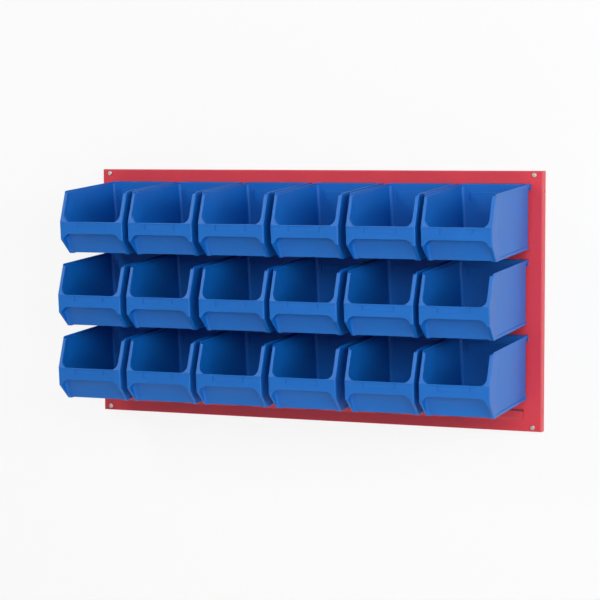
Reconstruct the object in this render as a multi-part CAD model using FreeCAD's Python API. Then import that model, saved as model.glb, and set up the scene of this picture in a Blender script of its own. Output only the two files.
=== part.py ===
import FreeCAD, Part
import math
import os

# Wall-mounted louvred panel with hanging parts bins.
# Millimetres. X runs along the wall, +Y into the wall, +Z up.
# The origin is the middle of the four wall fixings, on the wall face.

# ---------------------------------------------------------------- driving sizes
ROWS = 3
COLUMNS = 6
# Each bin hangs where a hand put it: its distance to the right of the middle of its louvre.
# One line is one row of bins, from the top, and a row or column past the last one repeats it.
HANG_SHIFTS = [[4.0, 3.0, 3.0, 4.0, 6.0, 3.0],
               [-2.0, -2.0, 4.0, 1.0, 2.0, -1.0],
               [-2.0, -2.0, -3.0, -1.0, 4.0, 0.0]]

# Hanging bin, one injection moulding
BIN_WIDTH = 150.0            # over the rim
BIN_LENGTH = 242.0           # rear wall face to front band
BIN_HEIGHT = 134.0
BIN_WALL = 2.4
BIN_FLOOR = 2.6
WALL_DRAFT = 3.0             # each side leans in by this much from rim to base
RIM_STEP = 2.0               # the rim stands this far out of the side wall
RIM_HEIGHT = 7.0
RIM_LEDGE = 4.5              # depth of the step inside the rim
RAIL_STEP = 2.3              # foot rail along each side of the base
RAIL_HEIGHT = 6.0
RAIL_EDGE_R = 1.0
BASE_RECESS = 2.0            # hollow under the floor, between the rails
BASE_RECESS_MARGIN = 8.0
RIM_SETBACK = 28.0           # the rim ends this far behind the front band
RIM_CORNER_R = 8.0
LIP_HEIGHT = 71.0            # top of the front band
BAND_HEIGHT = 38.0           # front band, corner to corner
BAND_CENTRE_HEIGHT = 26.0    # front band above the scoop
BASE_SETBACK = 31.0          # the base ends this far behind the front band
FLANGE_THICKNESS = 2.4       # front frame round the open front
FLANGE_SHARE = 7.5           # width of the frame beside the opening
FLARE_LENGTH = 46.0          # the side walls flare out to the frame over this length
FRONT_CORNER_R = 2.5         # outer corners of the frame and band
OPENING_CORNER_R = 15.0
LIP_BEAD = 3.0
LIP_BEAD_STAND = 0.8
LIP_BEAD_EDGE_R = 0.7
SCOOP_DEPTH = 11.0           # the scoop lies this far behind the band at its top
SCOOP_SAG = 2.5              # the scoop is hollowed by this much
SCOOP_LEG = 3.5              # foot left beside the scoop, at the base
SCOOP_CORNER_R = 18.0
SCOOP_BOWL_R = 5.0           # the scoop's face runs into its sides and top
SCOOP_POCKET = 14.0          # hollow behind the band, above the scoop
SCOOP_POCKET_LAP = 0.1
SCOOP_POCKET_MARGIN = 14.0
LABEL_FIELD_WIDTH = 68.0     # shallow label field, with a slot down each end
LABEL_SLOT_WIDTH = 3.5
LABEL_SLOT_HEIGHT = 11.0
LABEL_SLOT_DEPTH = 1.6
LABEL_FIELD_DEPTH = 0.6
REAR_STEP = 17.0             # tall band inside the rear wall, below the rim
REAR_STEP_DEPTH = 1.5
REAR_MARK_WIDTH = 6.0        # shallow upright recess in each rear corner
REAR_MARK_HEIGHT = 20.0
REAR_MARK_DEPTH = 1.9
REAR_MARK_INSET = 10.0
INNER_CORNER_R = 6.0
INNER_FRONT_R = 16.0
INNER_FLOOR_R = 5.0

# Hook along the bin's rear rim
HOOK_DEPTH = 14.5
HOOK_THICKNESS = 2.2
HOOK_BRIDGE = 3.0
HOOK_INSET = 1.0             # the tongue stops this far inside the rim, each side

# Louvred panel, one folded and pressed sheet
SHEET = 1.5
PANEL_DEPTH = 20.0
BEND_R = 2.5
CORNER_SLIT = 0.8
LOUVRE_PITCH = 39.0
LOUVRE_DRAW = 5.0            # louvre face in front of the sheet
LOUVRE_RISE = 20.0           # root to free edge
LOUVRE_LIP = 12.0            # upright part below the free edge
LOUVRE_SLIT = 4.0            # slit above the free edge
LOUVRE_INSET = 11.0          # louvre end inside the bin's side, each side
COLUMN_GAP = 14.0            # between neighbouring bins
SIDE_MARGIN = 27.0           # outer bin to the panel's side edge
TOP_MARGIN = 30.0            # first free edge to the panel's top edge
BOTTOM_MARGIN = 42.0         # last free edge to the panel's bottom edge
ROW_CLEARANCE = 20.0         # least gap between rows, so that a hook lifts out

# Fixings
FIXING_SIDE = 18.0           # wall screw to the side edge
FIXING_EDGE = 9.0            # wall screw to the top or bottom edge
SCREW_R = 2.5                # threaded part, in the wall
SCREW_NECK_R = 2.2           # plain part, between the head and the wall
SCREW_LENGTH = 60.0
SCREW_TIP = 6.0
SCREW_TIP_R = 0.5
HEAD_R = 4.75
HEAD_HEIGHT = 3.0
HEAD_EDGE_R = 1.4
RECESS_WIDTH = 1.3
RECESS_LENGTH = 5.2
RECESS_DEPTH = 1.6
SCREW_CLEARANCE = 0.35
JOIN_HOLE_R = 3.25           # holes in the side edges, to join panels
JOIN_HOLE_END = 42.0

# Running and seating gaps
HOOK_GAP = 0.3
SEAT_GAP = 0.3
HOOK_END_GAP = 1.6           # tongue's lower edge above the louvre's bend
OVERCUT = 1.0

# ---------------------------------------------------------------- derived sizes
COLUMN_PITCH = BIN_WIDTH + COLUMN_GAP
LOUVRES_PER_ROW = math.ceil((BIN_HEIGHT + ROW_CLEARANCE) / LOUVRE_PITCH)
LOUVRES = ROWS * LOUVRES_PER_ROW + 1
PANEL_WIDTH = COLUMNS * BIN_WIDTH + (COLUMNS - 1) * COLUMN_GAP + 2 * SIDE_MARGIN
PANEL_HEIGHT = TOP_MARGIN + (LOUVRES - 1) * LOUVRE_PITCH + BOTTOM_MARGIN
HALF_W = PANEL_WIDTH / 2
HALF_H = PANEL_HEIGHT / 2
FACE_Y = -PANEL_DEPTH
NOSE_Y = FACE_Y - LOUVRE_DRAW
FIRST_EDGE_Z = HALF_H - TOP_MARGIN
HOOK_DROP = HOOK_BRIDGE + SEAT_GAP + LOUVRE_LIP - HOOK_END_GAP
RIM_HALF = BIN_WIDTH / 2
WALL_TOP_HALF = RIM_HALF - RIM_STEP
WALL_BASE_HALF = WALL_TOP_HALF - WALL_DRAFT
FOOT_HALF = WALL_BASE_HALF + RAIL_STEP
FLOOR_TOP = BASE_RECESS + BIN_FLOOR
BAND_BOTTOM = LIP_HEIGHT - BAND_HEIGHT
SCOOP_TOP = LIP_HEIGHT - BAND_CENTRE_HEIGHT
RIM_FRONT = BIN_LENGTH - RIM_SETBACK
BASE_FRONT = BIN_LENGTH - BASE_SETBACK


def prism_x(points, x0, x1):
    """Solid with a (y, z) outline, from x0 to x1."""
    ring = [FreeCAD.Vector(x0, y, z) for y, z in points]
    face = Part.Face(Part.makePolygon(ring + [ring[0]]))
    return face.extrude(FreeCAD.Vector(x1 - x0, 0, 0))


def prism_y(points, y0, y1):
    """Solid with an (x, z) outline, from y0 to y1."""
    ring = [FreeCAD.Vector(x, y0, z) for x, z in points]
    face = Part.Face(Part.makePolygon(ring + [ring[0]]))
    return face.extrude(FreeCAD.Vector(0, y1 - y0, 0))


def box(x0, x1, y0, y1, z0, z1):
    """Axis-aligned block between two corners."""
    return Part.makeBox(x1 - x0, y1 - y0, z1 - z0, FreeCAD.Vector(x0, y0, z0))


def mirrored(points):
    """Outline that continues with its own mirror image in x."""
    return points + [(-x, z) for x, z in reversed(points)]


def edges_where(shape, test):
    """Straight edges whose two ends both satisfy the test."""
    return [e for e in shape.Edges if len(e.Vertexes) == 2 and all(test(v.Point) for v in e.Vertexes)]


def near(a, b):
    return abs(a - b) < 0.01


# ---------------------------------------------------------------- hanging bin
# The bin's own frame: y = 0 is the outer face of the rear wall, the front is
# towards -y, z = 0 is the base.

def wall_half(z):
    """Outer half-width of the drafted side walls at a height."""
    return WALL_BASE_HALF + WALL_DRAFT * z / BIN_HEIGHT


def ramp_y(z):
    """Outer face of the sloping front wall at a height, inside the scoop."""
    run = BASE_SETBACK - SCOOP_DEPTH
    return -(BASE_FRONT + run * z / SCOOP_TOP)


def bin_envelope(setback):
    """Side outline as a solid: base, raked foot, band, raked open front, rim with a rounded corner."""
    outline = [(0, 0), (setback - BASE_FRONT, 0), (setback - BIN_LENGTH, BAND_BOTTOM),
               (setback - BIN_LENGTH, LIP_HEIGHT), (setback - RIM_FRONT, BIN_HEIGHT), (0, BIN_HEIGHT)]
    solid = prism_x(outline, -RIM_HALF, RIM_HALF)
    corner = edges_where(solid, lambda p: near(p.y, setback - RIM_FRONT) and near(p.z, BIN_HEIGHT))
    return solid.makeFillet(RIM_CORNER_R, corner)


def rounded_outline(points, radii, z):
    """Closed outline in plan at one height, each corner rounded by its own radius; 0 keeps it sharp."""
    corners = [FreeCAD.Vector(x, y, z) for x, y in points]
    edges = []
    last = None
    for k, corner in enumerate(corners):
        back = (corners[k - 1] - corner).normalize()
        ahead = (corners[(k + 1) % len(corners)] - corner).normalize()
        half_angle = back.getAngle(ahead) / 2
        reach = radii[k] / math.tan(half_angle)
        start, end = corner + back * reach, corner + ahead * reach
        if last is not None:
            edges.append(Part.makeLine(last, start))
        if radii[k]:
            inward = (back + ahead).normalize()
            middle = corner + inward * (radii[k] / math.sin(half_angle) - radii[k])
            edges.append(Part.Arc(start, middle, end).toShape())
        last = end
    edges.append(Part.makeLine(last, edges[0].Vertexes[0].Point))
    return Part.Wire(edges)


def bin_cavity():
    """Space inside the bin, open at the top and at the front."""
    lean = RIM_SETBACK / (BIN_HEIGHT - LIP_HEIGHT)
    frame_back = FLANGE_THICKNESS * math.hypot(1, lean)
    top = BIN_HEIGHT
    rear = -(BIN_WALL + REAR_STEP_DEPTH)
    levels = [(FLOOR_TOP, ramp_y(FLOOR_TOP) + BIN_WALL + SCOOP_SAG),
              (SCOOP_TOP, ramp_y(SCOOP_TOP) + BIN_WALL + SCOOP_SAG),
              (LIP_HEIGHT, frame_back - BIN_LENGTH),
              (top, frame_back - BIN_LENGTH + lean * (top - LIP_HEIGHT))]
    radii = [INNER_CORNER_R, INNER_FRONT_R, INNER_FRONT_R, INNER_CORNER_R]
    sections = []
    for z, front in levels:
        half = wall_half(z) - BIN_WALL
        corners = [(half, rear), (half, front), (-half, front), (-half, rear)]
        sections.append(rounded_outline(corners, radii, z))
    cavity = Part.makeLoft(sections, True, True)
    floor_edges = [e for e in cavity.Edges if near(e.BoundBox.ZMax, FLOOR_TOP)]
    return cavity.makeFillet(INNER_FLOOR_R, floor_edges)


def front_section(z, front, half):
    """Plan outline of the bin's front end at one height, with rounded front corners."""
    side = wall_half(z)
    root = FLARE_LENGTH - front
    points = [(side, root), (half, -front), (-half, -front), (-side, root)]
    return rounded_outline(points, [0, FRONT_CORNER_R, FRONT_CORNER_R, 0], z)


def front_block():
    """Front end of the bin: the walls flare out to the frame, the band and the raked foot."""
    sections = [front_section(0, BASE_FRONT, FOOT_HALF),
                front_section(BAND_BOTTOM, BIN_LENGTH, RIM_HALF),
                front_section(LIP_HEIGHT, BIN_LENGTH, RIM_HALF),
                front_section(BIN_HEIGHT, RIM_FRONT, RIM_HALF)]
    return Part.makeLoft(sections, True, True)


def lip_bead():
    """Rounded bead along the top of the band."""
    half = RIM_HALF - FRONT_CORNER_R
    bead = box(-half, half, -BIN_LENGTH - LIP_BEAD_STAND, -BIN_LENGTH + FLANGE_THICKNESS,
               LIP_HEIGHT - LIP_BEAD, LIP_HEIGHT)
    front = [e for e in bead.Edges if near(e.BoundBox.YMax, -BIN_LENGTH - LIP_BEAD_STAND)]
    return bead.makeFillet(LIP_BEAD_EDGE_R, front)


def front_opening():
    """Cut through the front frame above the lip, with rounded lower corners."""
    half = RIM_HALF - FLANGE_SHARE
    outline = mirrored([(half, LIP_HEIGHT), (half, BIN_HEIGHT + RIM_HEIGHT)])
    window = prism_y(outline, -BIN_LENGTH - 2 * OVERCUT, -RIM_FRONT + RIM_SETBACK)
    low = edges_where(window, lambda p: near(p.z, LIP_HEIGHT))
    low = [e for e in low if e.BoundBox.YLength > OVERCUT]
    return window.makeFillet(OPENING_CORNER_R, low)


def scoop():
    """Arched scoop under the band, and the hollow behind the band."""
    half = FOOT_HALF - SCOOP_LEG
    front = -BIN_LENGTH - 2 * OVERCUT
    arch = prism_y(mirrored([(half, -OVERCUT), (half, SCOOP_TOP)]), front, -BIN_LENGTH / 2)
    corners = [e for e in arch.Edges if near(e.BoundBox.ZMin, SCOOP_TOP) and e.BoundBox.YLength > OVERCUT]
    arch = arch.makeFillet(SCOOP_CORNER_R, corners)
    low = FreeCAD.Vector(-RIM_HALF, ramp_y(-OVERCUT), -OVERCUT)
    high = FreeCAD.Vector(-RIM_HALF, ramp_y(SCOOP_TOP), SCOOP_TOP)
    across = FreeCAD.Vector(0, high.z - low.z, low.y - high.y).normalize()
    middle = (low + high) * 0.5 + across * SCOOP_SAG
    rest = Part.makePolygon([high, FreeCAD.Vector(-RIM_HALF, front, SCOOP_TOP),
                             FreeCAD.Vector(-RIM_HALF, front, -OVERCUT), low])
    hollow = Part.Wire([Part.Arc(low, middle, high).toShape()] + rest.Edges)
    slope = Part.Face(hollow).extrude(FreeCAD.Vector(BIN_WIDTH, 0, 0))
    pocket_half = half - SCOOP_POCKET_MARGIN
    back_of_band = -BIN_LENGTH + FLANGE_THICKNESS
    pocket = prism_x([(ramp_y(SCOOP_TOP), SCOOP_TOP - SCOOP_POCKET_LAP),
                      (back_of_band + OVERCUT, SCOOP_TOP + SCOOP_POCKET),
                      (back_of_band, SCOOP_TOP + SCOOP_POCKET),
                      (back_of_band, SCOOP_TOP - SCOOP_POCKET_LAP)], -pocket_half, pocket_half)
    bowl = arch.common(slope)
    face = max(bowl.Faces, key=lambda f: f.Area if f.Surface.TypeId == "Part::GeomCylinder" else 0)
    rim = [e for e in face.Edges if e.BoundBox.ZMax > -OVERCUT / 2]
    bowl = bowl.makeFillet(SCOOP_BOWL_R, rim)
    return bowl.fuse(pocket)


def label_marks():
    """Shallow label field on the band, with a deeper slot at each end."""
    reach = LABEL_FIELD_WIDTH / 2
    top = LIP_HEIGHT - LIP_BEAD
    front = -BIN_LENGTH - OVERCUT
    field = box(-reach, reach, front, -BIN_LENGTH + LABEL_FIELD_DEPTH, top - LABEL_SLOT_HEIGHT, top)
    marks = [field]
    for side in (-1, 1):
        x = side * reach
        marks.append(box(x - LABEL_SLOT_WIDTH / 2, x + LABEL_SLOT_WIDTH / 2, front,
                         -BIN_LENGTH + LABEL_SLOT_DEPTH, top - LABEL_SLOT_HEIGHT, top))
    return marks


def rear_hook():
    """Full-width bridge and tongue that drop over a louvre."""
    bridge = box(-RIM_HALF, RIM_HALF, 0, HOOK_DEPTH, BIN_HEIGHT - HOOK_BRIDGE, BIN_HEIGHT)
    half = RIM_HALF - HOOK_INSET
    tongue = box(-half, half, HOOK_DEPTH - HOOK_THICKNESS, HOOK_DEPTH, BIN_HEIGHT - HOOK_DROP, BIN_HEIGHT)
    return bridge.fuse(tongue)


def make_bin():
    """One hanging bin in its own frame."""
    across = prism_y([(-wall_half(0), 0), (wall_half(0), 0), (wall_half(BIN_HEIGHT), BIN_HEIGHT),
                      (-wall_half(BIN_HEIGHT), BIN_HEIGHT)], -BIN_LENGTH - OVERCUT, OVERCUT)
    rim = box(-RIM_HALF, RIM_HALF, -RIM_FRONT, 0, BIN_HEIGHT - RIM_HEIGHT, BIN_HEIGHT)
    rails = box(-FOOT_HALF, FOOT_HALF, -BASE_FRONT, 0, 0, RAIL_HEIGHT)
    rail_edges = edges_where(rails, lambda p: near(abs(p.x), FOOT_HALF))
    rails = rails.makeFillet(RAIL_EDGE_R, [e for e in rail_edges if e.BoundBox.YLength > BASE_FRONT / 2])
    behind = bin_envelope(FRONT_CORNER_R + OVERCUT)
    walls = behind.common(across.multiFuse([rim, rails]))
    body = walls.multiFuse([front_block().common(bin_envelope(0)), lip_bead(), rear_hook()])
    ledge_half = RIM_HALF - BIN_WALL
    ledge = box(-ledge_half, ledge_half, -BIN_LENGTH, -BIN_WALL,
                BIN_HEIGHT - RIM_LEDGE, BIN_HEIGHT + RIM_LEDGE)
    rear_half = wall_half(BIN_HEIGHT - REAR_STEP) - BIN_WALL - INNER_CORNER_R
    rear_step = box(-rear_half, rear_half, -2 * INNER_CORNER_R, -BIN_WALL, BIN_HEIGHT - REAR_STEP,
                    BIN_HEIGHT + RIM_LEDGE)
    cuts = [bin_cavity(), front_opening(), scoop(), ledge, rear_step] + label_marks()
    rear_inner = -(BIN_WALL + REAR_STEP_DEPTH)
    mark_top = BIN_HEIGHT - REAR_STEP
    for side in (-1, 1):
        x = side * (rear_half - REAR_MARK_INSET)
        cuts.append(box(x - REAR_MARK_WIDTH / 2, x + REAR_MARK_WIDTH / 2,
                        rear_inner - OVERCUT, rear_inner + REAR_MARK_DEPTH,
                        mark_top - REAR_MARK_HEIGHT, mark_top + OVERCUT))
    recess_half = wall_half(0) - BASE_RECESS_MARGIN
    recess = box(-recess_half, recess_half, -BIN_LENGTH, -BASE_RECESS_MARGIN, -OVERCUT, BASE_RECESS)
    cuts.append(recess)
    solid = body.cut(cuts)
    return solid.removeSplitter()


def hanging_tilt():
    """Lean of a hung bin, in radians: its hook is on one louvre and its rear wall rests on a lower one."""
    reach = BIN_HEIGHT - HOOK_BRIDGE
    drops = [min(k * LOUVRE_PITCH + LOUVRE_LIP, reach) for k in range(1, LOUVRES_PER_ROW + 1)
             if k * LOUVRE_PITCH < reach]
    drop = max(drops)
    room = HOOK_DEPTH - HOOK_THICKNESS - HOOK_GAP - SEAT_GAP
    return math.asin(room / math.hypot(drop, SHEET)) - math.atan(SHEET / drop)


def hang(shape, x, edge_z):
    """Place a bin with its hook over the louvre whose free edge is at edge_z."""
    tilt = hanging_tilt()
    cos, sin = math.cos(tilt), math.sin(tilt)
    local_y = HOOK_DEPTH - HOOK_THICKNESS - HOOK_GAP
    local_z = BIN_HEIGHT - HOOK_BRIDGE - SEAT_GAP
    # The louvre's rear top edge sets y, its front top edge sets z, both in the bin's frame.
    along = local_y - (NOSE_Y + SHEET) * cos - edge_z * sin
    up = local_z + NOSE_Y * sin - edge_z * cos
    placed = shape.copy()
    placed.rotate(FreeCAD.Vector(0, 0, 0), FreeCAD.Vector(1, 0, 0), math.degrees(tilt))
    placed.translate(FreeCAD.Vector(x, -(along * cos - up * sin), -(along * sin + up * cos)))
    return placed


# ---------------------------------------------------------------- louvred panel

def louvre_solids(edge_z, x):
    """Outer body of one louvre and the space behind it, open at its top and at the ends of its lip."""
    half = BIN_WIDTH / 2 - LOUVRE_INSET
    root_z = edge_z - LOUVRE_RISE
    bend_z = edge_z - LOUVRE_LIP
    profile = [(FACE_Y, root_z), (NOSE_Y, bend_z), (NOSE_Y, edge_z), (FACE_Y, edge_z)]
    outer = prism_x(profile, x - half, x + half)
    grade = (bend_z - root_z) / LOUVRE_DRAW
    shift_z = SHEET * math.hypot(1, grade)
    back_y = FACE_Y + SHEET + OVERCUT
    front_y = NOSE_Y + SHEET
    top_z = edge_z + LOUVRE_SLIT
    low_z = root_z + shift_z + grade * (FACE_Y - back_y)
    fold_z = low_z + grade * (back_y - front_y)
    behind_slope = prism_x([(back_y, low_z), (front_y, fold_z), (front_y, top_z), (back_y, top_z)],
                           x - half + SHEET, x + half - SHEET)
    behind_lip = prism_x([(back_y, fold_z), (front_y, fold_z), (front_y, top_z), (back_y, top_z)],
                         x - half, x + half)
    return outer, behind_slope.fuse(behind_lip)


def column_centres():
    """Middle of each column of bins."""
    return [(k - (COLUMNS - 1) / 2) * COLUMN_PITCH for k in range(COLUMNS)]


def fixing_points():
    """Wall screw positions (x, z)."""
    x = HALF_W - FIXING_SIDE
    z = HALF_H - FIXING_EDGE
    return [(-x, z), (x, z), (-x, -z), (x, -z)]


def make_panel():
    """Folded sheet with returned edges, rows of pressed louvres, fixing and joining holes."""
    tray = box(-HALF_W, HALF_W, FACE_Y, 0, -HALF_H, HALF_H)
    front_edges = [e for e in tray.Edges if near(e.BoundBox.YMin, FACE_Y) and near(e.BoundBox.YMax, FACE_Y)]
    tray = tray.makeFillet(BEND_R, front_edges)
    inside = box(-HALF_W + SHEET, HALF_W - SHEET, FACE_Y + SHEET, OVERCUT, -HALF_H + SHEET, HALF_H - SHEET)
    fold = [e for e in inside.Edges
            if near(e.BoundBox.YMin, FACE_Y + SHEET) and near(e.BoundBox.YMax, FACE_Y + SHEET)]
    inside = inside.makeFillet(BEND_R - SHEET, fold)
    pairs = [louvre_solids(FIRST_EDGE_Z - k * LOUVRE_PITCH, x)
             for k in range(LOUVRES) for x in column_centres()]
    panel = tray.cut(inside).multiFuse([outer for outer, inner in pairs])
    cuts = [inner for outer, inner in pairs]
    for x, z in fixing_points():
        cuts.append(Part.makeCylinder(SCREW_R + SCREW_CLEARANCE, SHEET + 2 * OVERCUT,
                                      FreeCAD.Vector(x, FACE_Y - OVERCUT, z), FreeCAD.Vector(0, 1, 0)))
    for side in (-1, 1):
        for end in (-1, 1):
            z = end * (HALF_H - JOIN_HOLE_END)
            x = side * (HALF_W - SHEET - OVERCUT)
            cuts.append(Part.makeCylinder(JOIN_HOLE_R, SHEET + 2 * OVERCUT,
                                          FreeCAD.Vector(x, FACE_Y / 2, z), FreeCAD.Vector(side, 0, 0)))
            # The returned edges stay unjoined at the corners.
            slit = sorted((side * (HALF_W - SHEET), side * (HALF_W - SHEET - CORNER_SLIT)))
            edge = sorted((end * (HALF_H - SHEET - OVERCUT), end * (HALF_H + OVERCUT)))
            cuts.append(box(slit[0], slit[1], FACE_Y + 2 * BEND_R, OVERCUT, edge[0], edge[1]))
    return panel.cut(cuts).removeSplitter()


# ---------------------------------------------------------------- wall screws

def make_screw(x, z):
    """Pan-head wall screw with a cross recess, its head against the panel's face."""
    inward = FreeCAD.Vector(0, 1, 0)
    top = FreeCAD.Vector(0, -HEAD_HEIGHT, 0)
    head = Part.makeCylinder(HEAD_R, HEAD_HEIGHT, top, inward)
    rim = [e for e in head.Edges if near(e.BoundBox.YMin, top.y) and near(e.BoundBox.YMax, top.y)]
    head = head.makeFillet(HEAD_EDGE_R, rim)
    neck = Part.makeCylinder(SCREW_NECK_R, PANEL_DEPTH, FreeCAD.Vector(0, 0, 0), inward)
    thread_start = FreeCAD.Vector(0, PANEL_DEPTH, 0)
    thread_end = FreeCAD.Vector(0, SCREW_LENGTH - SCREW_TIP, 0)
    thread = Part.makeCylinder(SCREW_R, thread_end.y - thread_start.y, thread_start, inward)
    tip = Part.makeCone(SCREW_R, SCREW_TIP_R, SCREW_TIP, thread_end, inward)
    wide, thin = RECESS_LENGTH / 2, RECESS_WIDTH / 2
    bottom = -HEAD_HEIGHT + RECESS_DEPTH
    cross = [box(-wide, wide, -HEAD_HEIGHT - OVERCUT, bottom, -thin, thin),
             box(-thin, thin, -HEAD_HEIGHT - OVERCUT, bottom, -wide, wide)]
    screw = head.multiFuse([neck, thread, tip]).cut(cross)
    screw.translate(FreeCAD.Vector(x, FACE_Y, z))
    return screw


# ---------------------------------------------------------------- sub-parts

def export(shape, name):
    shape.exportStep(os.path.join("parts", name + ".step"))


os.makedirs("parts", exist_ok=True)
export(make_panel(), "louvred_panel")
export(Part.makeCompound([make_screw(x, z) for x, z in fixing_points()]), "wall_screws")
hanging_bin = make_bin()
for row in range(ROWS):
    edge_z = FIRST_EDGE_Z - row * LOUVRES_PER_ROW * LOUVRE_PITCH
    shifts = HANG_SHIFTS[min(row, len(HANG_SHIFTS) - 1)]
    for column, x in enumerate(column_centres()):
        shift = shifts[min(column, len(shifts) - 1)]
        export(hang(hanging_bin, x + shift, edge_z), "bin_r%d_c%d" % (row + 1, column + 1))

print("panel %.1f x %.1f x %.1f" % (PANEL_WIDTH, PANEL_HEIGHT, PANEL_DEPTH))
print("bins lean forward by %.3f degrees" % math.degrees(hanging_tilt()))
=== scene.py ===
import math

import bpy
from mathutils import Matrix, Vector


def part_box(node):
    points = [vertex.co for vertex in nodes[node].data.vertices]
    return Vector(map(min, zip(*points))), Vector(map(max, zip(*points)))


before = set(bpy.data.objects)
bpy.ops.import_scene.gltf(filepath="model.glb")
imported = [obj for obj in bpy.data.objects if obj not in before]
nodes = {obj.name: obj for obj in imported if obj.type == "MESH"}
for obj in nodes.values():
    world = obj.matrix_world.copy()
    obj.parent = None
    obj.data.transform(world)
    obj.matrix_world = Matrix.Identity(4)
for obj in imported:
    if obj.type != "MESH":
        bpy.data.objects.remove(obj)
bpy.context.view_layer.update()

scene = bpy.context.scene
scene.view_settings.view_transform = "Standard"

PANEL_NODE = "louvred_panel"
SCREW_NODE = "wall_screws"
BIN_NODES = sorted(n for n in nodes if n.startswith("bin_"))
WHITE = (1.0, 1.0, 1.0, 1.0)

# Lengths are in metres, and angles in degrees, unless a line says otherwise.

# ---------------------------------------------------------------- camera
CAMERA_PLACE = (1.8725, -4.3872, 0.3137)
CAMERA_YAW = 23.56           # it stands to the right and turns this far to its left
CAMERA_PITCH = 3.89          # downward
FOCAL_PIXELS = 2211.94
FRAME_PIXELS = 600
SENSOR_MM = 36.0
FAR_CLIP = 100.0
LEVEL = 90.0                 # a camera that isn't turned looks straight down


def make_camera():
    """Camera at the photograph's viewing angle."""
    data = bpy.data.cameras.new("camera")
    data.sensor_width = SENSOR_MM
    data.lens = FOCAL_PIXELS * SENSOR_MM / FRAME_PIXELS
    data.clip_end = FAR_CLIP
    camera = bpy.data.objects.new("camera", data)
    scene.collection.objects.link(camera)
    turn = Matrix.Rotation(math.radians(CAMERA_YAW), 4, "Z")
    nod = Matrix.Rotation(math.radians(LEVEL - CAMERA_PITCH), 4, "X")
    camera.matrix_world = Matrix.Translation(CAMERA_PLACE) @ turn @ nod
    scene.camera = camera


make_camera()


# ---------------------------------------------------------------- node helpers
class Graph:
    """Short forms for building one material's or world's nodes."""

    def __init__(self, tree):
        self.tree = tree
        tree.nodes.clear()

    def add(self, kind, **settings):
        node = self.tree.nodes.new("ShaderNode" + kind)
        for name, value in settings.items():
            setattr(node, name, value)
        return node

    def feed(self, socket, value):
        """Link an output to the socket, or set a number or colour on it."""
        if isinstance(value, bpy.types.NodeSocket):
            self.tree.links.new(value, socket)
        elif value is not None:
            socket.default_value = value

    def end(self, kind, shader):
        """Lead a shader node to the material's or world's output."""
        self.feed(self.add(kind).inputs["Surface"], shader.outputs[0])

    def maths(self, operation, a, b=None, c=None):
        node = self.add("Math", operation=operation)
        for socket, value in zip(node.inputs, (a, b, c)):
            self.feed(socket, value)
        return node.outputs[0]

    def noise(self, place, scale, detail=2.0, roughness=0.5, distortion=0.0):
        """Noise from 0 to 1 with about so many features to the metre."""
        node = self.add("TexNoise")
        self.feed(node.inputs["Vector"], place)
        self.feed(node.inputs["Scale"], scale)
        self.feed(node.inputs["Detail"], detail)
        self.feed(node.inputs["Roughness"], roughness)
        self.feed(node.inputs["Distortion"], distortion)
        return node.outputs["Fac"]

    def span(self, value, low, high, to_low=0.0, to_high=1.0, smooth=False):
        """Carry low..high over to to_low..to_high, and hold it beyond them."""
        node = self.add("MapRange", clamp=True)
        if smooth:
            node.interpolation_type = "SMOOTHSTEP"
        for socket, number in zip(node.inputs, (value, low, high, to_low, to_high)):
            self.feed(socket, number)
        return node.outputs[0]

    def blend(self, share, a, b):
        """Colour a, with a share of colour b."""
        node = self.add("Mix", data_type="RGBA")
        self.feed(node.inputs["Factor"], share)
        self.feed(node.inputs["A"], a)
        self.feed(node.inputs["B"], b)
        return node.outputs["Result"]

    def mix_shaders(self, share, a, b):
        """Shader node a, with a share of shader node b."""
        node = self.add("MixShader")
        for socket, value in zip(node.inputs, (share, a.outputs[0], b.outputs[0])):
            self.feed(socket, value)
        return node

    def soft_edge(self, radius):
        """Surface direction with every edge rounded, in the shading only."""
        node = self.add("Bevel", samples=4)
        node.inputs["Radius"].default_value = radius
        return node.outputs["Normal"]

    def bump(self, height, depth, strength, under=None):
        node = self.add("Bump")
        self.feed(node.inputs["Height"], height)
        self.feed(node.inputs["Distance"], depth)
        self.feed(node.inputs["Strength"], strength)
        self.feed(node.inputs["Normal"], under)
        return node.outputs["Normal"]


def material(name):
    made = bpy.data.materials.new(name)
    made.use_nodes = True
    return made, Graph(made.node_tree)


def finished(g, colour, roughness, normal, **constants):
    """Principled surface of a piece."""
    shader = g.add("BsdfPrincipled")
    g.feed(shader.inputs["Base Color"], colour)
    g.feed(shader.inputs["Roughness"], roughness)
    g.feed(shader.inputs["Normal"], normal)
    for label, value in constants.items():
        shader.inputs[label.replace("_", " ")].default_value = value
    g.end("OutputMaterial", shader)


# ---------------------------------------------------------------- bin plastic
BLUE = (0.0015, 0.142, 0.54, 1.0)
BLUE_DEEP = (0.001, 0.130, 0.50, 1.0)
BLUE_PALE = (0.004, 0.159, 0.58, 1.0)
PLASTIC_EDGE = 0.0009
PLASTIC_ROUGHNESS = (0.40, 0.47)
FLOW_SHARE = 0.35            # of the pale blue in a flow mark
SCUFF_SHARE = 0.18           # of the pale blue in a scuff
SCUFF_ROUGHNESS = 0.10
GRAIN_ROUGHNESS = 0.03


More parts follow.
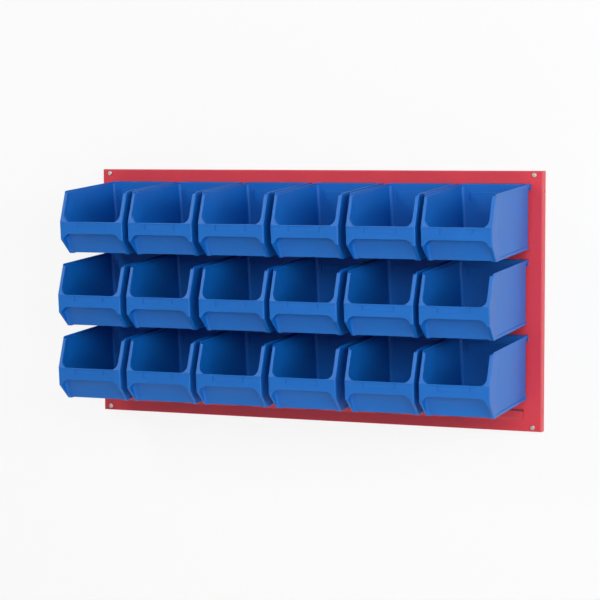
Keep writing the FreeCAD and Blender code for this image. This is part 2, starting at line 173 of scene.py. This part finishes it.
def make_plastic():
    """Moulding with a drifting tone, flow marks, fine grain and light scuffs."""
    made, g = material("moulded_polypropylene")
    place = g.add("TexCoord").outputs["Object"]
    cloud = g.noise(place, scale=9.0, detail=3.0, roughness=0.55)
    flow = g.noise(place, scale=60.0, distortion=0.8)
    grain = g.noise(place, scale=1900.0, detail=1.0, roughness=0.6)
    scuff = g.noise(place, scale=240.0, detail=4.0, roughness=0.7, distortion=1.5)
    scuff = g.span(scuff, 0.66, 0.74)
    tone = g.blend(g.span(cloud, 0.35, 0.65), BLUE_DEEP, BLUE)
    flow_mark = g.maths("MULTIPLY", g.span(flow, 0.55, 0.8), FLOW_SHARE)
    tone = g.blend(flow_mark, tone, BLUE_PALE)
    tone = g.blend(g.maths("MULTIPLY", scuff, SCUFF_SHARE), tone, BLUE_PALE)
    rough = g.span(cloud, 0.3, 0.7, *PLASTIC_ROUGHNESS)
    rough = g.maths("MULTIPLY_ADD", scuff, SCUFF_ROUGHNESS, rough)
    rough = g.maths("MULTIPLY_ADD", g.span(grain, 0.3, 0.7), GRAIN_ROUGHNESS, rough)
    normal = g.soft_edge(PLASTIC_EDGE)
    normal = g.bump(grain, depth=0.00006, strength=0.35, under=normal)
    normal = g.bump(flow, depth=0.0004, strength=0.12, under=normal)
    finished(g, tone, rough, normal, Specular_IOR_Level=0.45, IOR=1.49)
    return made


# ---------------------------------------------------------------- powder coat
RED = (0.71, 0.041, 0.064, 1.0)
RED_DEEP = (0.665, 0.035, 0.056, 1.0)
SHEET_EDGE = 0.0007
POWDER_ROUGHNESS = (0.34, 0.40)
SPECK_ROUGHNESS = 0.05


def make_powder_coat():
    """Paint with a drifting tone, orange peel and fine specks."""
    made, g = material("red_powder_coat")
    place = g.add("TexCoord").outputs["Object"]
    cloud = g.noise(place, scale=7.0, detail=3.0)
    peel = g.noise(place, scale=420.0, detail=1.5, roughness=0.45)
    speck = g.noise(place, scale=2300.0, detail=1.0)
    tone = g.blend(g.span(cloud, 0.3, 0.7), RED_DEEP, RED)
    rough = g.span(cloud, 0.3, 0.7, *POWDER_ROUGHNESS)
    rough = g.maths("MULTIPLY_ADD", speck, SPECK_ROUGHNESS, rough)
    normal = g.soft_edge(SHEET_EDGE)
    normal = g.bump(peel, depth=0.00035, strength=0.30, under=normal)
    normal = g.bump(speck, depth=0.00004, strength=0.20, under=normal)
    finished(g, tone, rough, normal, Specular_IOR_Level=0.5, IOR=1.5)
    return made


# ---------------------------------------------------------------- zinc plating
ZINC_DULL = (0.44, 0.43, 0.40, 1.0)
ZINC_PALE = (0.56, 0.54, 0.48, 1.0)
ZINC_ROUGHNESS = (0.30, 0.44)


def make_zinc():
    """Clouded zinc plating with a fine grain."""
    made, g = material("zinc_plating")
    place = g.add("TexCoord").outputs["Object"]
    cloud = g.noise(place, scale=160.0, detail=3.0, roughness=0.6)
    grain = g.noise(place, scale=2600.0, roughness=0.6)
    tone = g.blend(g.span(cloud, 0.3, 0.7), ZINC_DULL, ZINC_PALE)
    rough = g.span(cloud, 0.3, 0.7, *ZINC_ROUGHNESS)
    normal = g.bump(grain, depth=0.00005, strength=0.3)
    finished(g, tone, rough, normal, Metallic=1.0)
    return made


def paint(node_names, made):
    """Put one material in every slot of the named CAD nodes."""
    for name in node_names:
        for slot in nodes[name].material_slots:
            slot.material = made


paint(BIN_NODES, make_plastic())
paint([PANEL_NODE], make_powder_coat())
paint([SCREW_NODE], make_zinc())

# ---------------------------------------------------------------- wall and floor
WALL_REACH = 14.0            # each way
FLOOR_Z = -1.35
WALL_PAINT = (0.86, 0.86, 0.86, 1.0)
FLOOR_PAINT = (0.60, 0.60, 0.60, 1.0)
WHITE_SHARE = 0.86           # white that shows however deep the shadow
PATCH_INSET = 0.004          # from the panel's outline
# Painted shade: the wall behind the panel gets a darker grey than the wall paint,
# standing in for the panel's shade.
PATCH_PAINTED_SHADE = (0.30, 0.29, 0.28, 1.0)


def seen_ray(g):
    """1 for a ray from the camera, in a reflection or through glass."""
    path = g.add("LightPath").outputs
    seen = g.maths("MAXIMUM", path["Is Camera Ray"], path["Is Glossy Ray"])
    return g.maths("MAXIMUM", seen, path["Is Transmission Ray"])


def one_sided(g, front, hidden):
    """Output where the front shader gives way to nothing as hidden goes to 1."""
    clear = g.add("BsdfTransparent")
    g.end("OutputMaterial", g.mix_shaders(hidden, front, clear))


def make_pale(name, shade):
    """White paint with no back, so that the object can be seen from behind it."""
    made, g = material(name)
    matt = g.add("BsdfDiffuse")
    matt.inputs["Color"].default_value = shade
    white = g.add("Emission")
    white.inputs["Color"].default_value = WHITE
    white.inputs["Strength"].default_value = 1.0
    shown = g.maths("MULTIPLY", seen_ray(g), WHITE_SHARE)
    front = g.mix_shaders(shown, matt, white)
    one_sided(g, front, g.add("NewGeometry").outputs["Backfacing"])
    return made


def make_patch():
    """Wall behind the panel that the camera sees through the panel's slits. Its
    darker grey is painted shade for the panel's shade, on top of the real shade it
    gets.

    It has no back, and it lets light through to the panel's back.
    """
    made, g = material("painted_shade_wall")
    # Painted shade: this grey is darker than the wall paint. The patch also gets
    # its real light and shade.
    matt = g.add("BsdfDiffuse")
    matt.inputs["Color"].default_value = PATCH_PAINTED_SHADE
    away = g.add("NewGeometry").outputs["Backfacing"]
    camera_ray = g.add("LightPath").outputs["Is Camera Ray"]
    unseen = g.maths("SUBTRACT", 1.0, camera_ray)
    one_sided(g, matt, g.maths("MAXIMUM", away, unseen))
    return made


def upright(x0, z0, x1, z1):
    """Corners of a rectangle on the panel's back plane."""
    return [(x0, 0.0, z0), (x1, 0.0, z0), (x1, 0.0, z1), (x0, 0.0, z1)]


def make_backdrop():
    """Wall that the panel hangs on, its patch of painted shade behind the panel,
    and a floor far below.
    """
    low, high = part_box(PANEL_NODE)
    verts = upright(-WALL_REACH, FLOOR_Z, WALL_REACH, WALL_REACH)
    verts += upright(low.x + PATCH_INSET, low.z + PATCH_INSET,
                     high.x - PATCH_INSET, high.z - PATCH_INSET)
    verts += [(x, -WALL_REACH, FLOOR_Z) for x in (-WALL_REACH, WALL_REACH)]
    around = [(k, (k + 1) % 4, 4 + (k + 1) % 4, 4 + k) for k in range(4)]
    floor, patch = (8, 9, 1, 0), (4, 5, 6, 7)
    mesh = bpy.data.meshes.new("backdrop")
    mesh.from_pydata(verts, [], around + [floor, patch])
    mesh.materials.append(make_pale("pale_wall", WALL_PAINT))
    mesh.materials.append(make_pale("pale_floor", FLOOR_PAINT))
    mesh.materials.append(make_patch())
    for face, slot in zip(mesh.polygons, (0, 0, 0, 0, 1, 2)):
        face.material_index = slot
    drop = bpy.data.objects.new("backdrop", mesh)
    scene.collection.objects.link(drop)


make_backdrop()

# ---------------------------------------------------------------- light
LIGHT_AIM = Vector((0.0, -0.1, 0.0))

# Soft boxes aimed at the object: name, turn to the right of its front, rise
# above it, distance, width and height, watts.
LAMPS = (
    ("high_left", -30.0, 31.0, 4.6, (1.0, 1.0), 42.0),
    ("front", 18.0, 15.0, 4.6, (1.4, 1.4), 51.0),
    ("right", 54.0, 13.0, 4.0, (3.6, 1.2), 80.0),
    ("left_side", -82.0, 20.0, 4.0, (1.6, 1.6), 25.0),
    ("low_front", 30.0, -12.0, 4.6, (1.2, 0.8), 16.0),
    ("overhead", 0.0, 84.0, 3.2, (2.4, 1.2), 9.0),
)


def make_lamp(name, turn, rise, distance, size, watts):
    turn, rise = math.radians(turn), math.radians(rise)
    away = Vector((math.sin(turn) * math.cos(rise),
                   -math.cos(turn) * math.cos(rise),
                   math.sin(rise)))
    data = bpy.data.lights.new(name, "AREA")
    data.shape = "RECTANGLE"
    data.size, data.size_y = size
    data.energy = watts
    made = bpy.data.objects.new(name, data)
    scene.collection.objects.link(made)
    made.location = LIGHT_AIM + away * distance
    made.rotation_euler = away.to_track_quat("Z", "Y").to_euler()
    made.visible_camera = False


for row in LAMPS:
    make_lamp(*row)

ROOM_FRONT = 0.02            # light from the room in front of the wall
ROOM_BACK = 0.90             # light from behind it, for the panel's back
ROOM_SEEN = 0.88             # brightness at which the room shows
ROOM_EDGE = 0.1              # half the depth over which front turns to back


def make_world():
    """Pale room, dim in front of the wall and bright behind it."""
    world = bpy.data.worlds.new("studio")
    scene.world = world
    world.use_nodes = True
    g = Graph(world.node_tree)
    split = g.add("SeparateXYZ")
    g.feed(split.inputs[0], g.add("TexCoord").outputs["Generated"])
    light = g.span(split.outputs["Y"], -ROOM_EDGE, ROOM_EDGE,
                   ROOM_FRONT, ROOM_BACK, smooth=True)
    lift = g.maths("SUBTRACT", ROOM_SEEN, light)
    level = g.maths("MULTIPLY_ADD", seen_ray(g), lift, light)
    room = g.add("Background")
    room.inputs["Color"].default_value = WHITE
    g.feed(room.inputs["Strength"], level)
    g.end("OutputWorld", room)


make_world()
